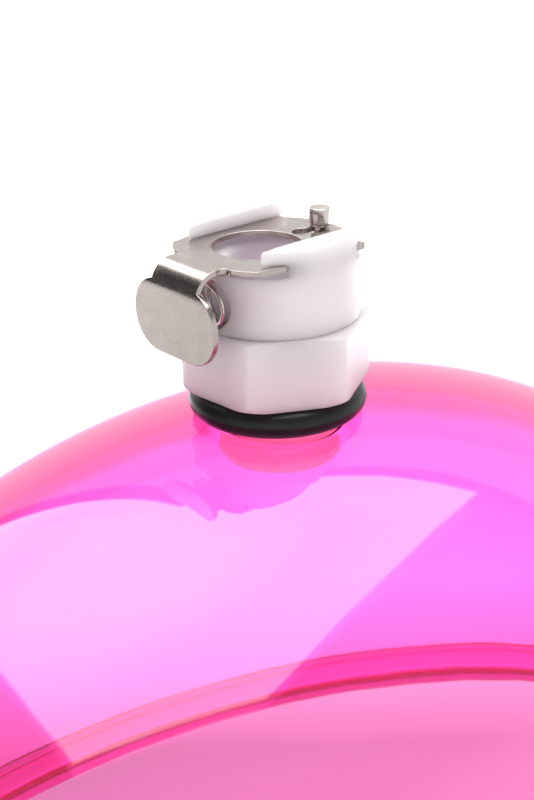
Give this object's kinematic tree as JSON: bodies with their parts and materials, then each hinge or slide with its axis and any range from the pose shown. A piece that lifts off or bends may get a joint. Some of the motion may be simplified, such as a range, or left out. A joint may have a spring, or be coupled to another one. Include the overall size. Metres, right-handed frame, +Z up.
{
  "type": "vacuum cupping cup",
  "caption": "Clear oval vacuum cup with a valved quick-disconnect fitting: thumb latch, release pin and shut-off poppet on its crown.",
  "frame": {"origin": "centre of the cup's mouth, on the plane that its lip rests on, on the valve's axis", "axes": "+Z up through the valve; +Y along the cup's long side, with the thumb tab toward -Y; +X across the cup"},
  "size_m": [0.0884, 0.131, 0.0728],
  "materials": {
    "clear_pink": "clear hot-pink moulded plastic, polished",
    "black_rubber": "smooth semi-gloss nitrile",
    "white_acetal": "natural white acetal, satin, slightly translucent",
    "latch_steel": "fine-brushed stainless sheet with sheared edges",
    "spring_wire": "bright spring wire",
    "pin_steel": "turned and polished steel"
  },
  "bodies": {
    "cup": {"cup_shell": "clear_pink", "seal_ring": "black_rubber", "hex_base": "white_acetal", "coupling_body": "white_acetal", "latch_spring": "spring_wire", "release_pin": "pin_steel", "pin_spring": "spring_wire", "poppet_spring": "spring_wire"},
    "latch": {"latch_plate": "latch_steel"},
    "poppet": {"valve_poppet": "white_acetal", "poppet_seal": "black_rubber"}
  },
  "joints": [
    {"name": "latch_press", "type": "slide", "parent": "cup", "child": "latch", "axis": [0, 1, 0], "range_m": [0, 0.00182], "stiffness_N_per_m": 1200, "springref_m": -0.002, "deforming": ["latch_spring"]},
    {"name": "poppet_open", "type": "slide", "parent": "cup", "child": "poppet", "axis": [0, 0, -1], "range_m": [0, 0.002], "stiffness_N_per_m": 500, "springref_m": -0.002, "deforming": ["poppet_spring"]}
  ]
}
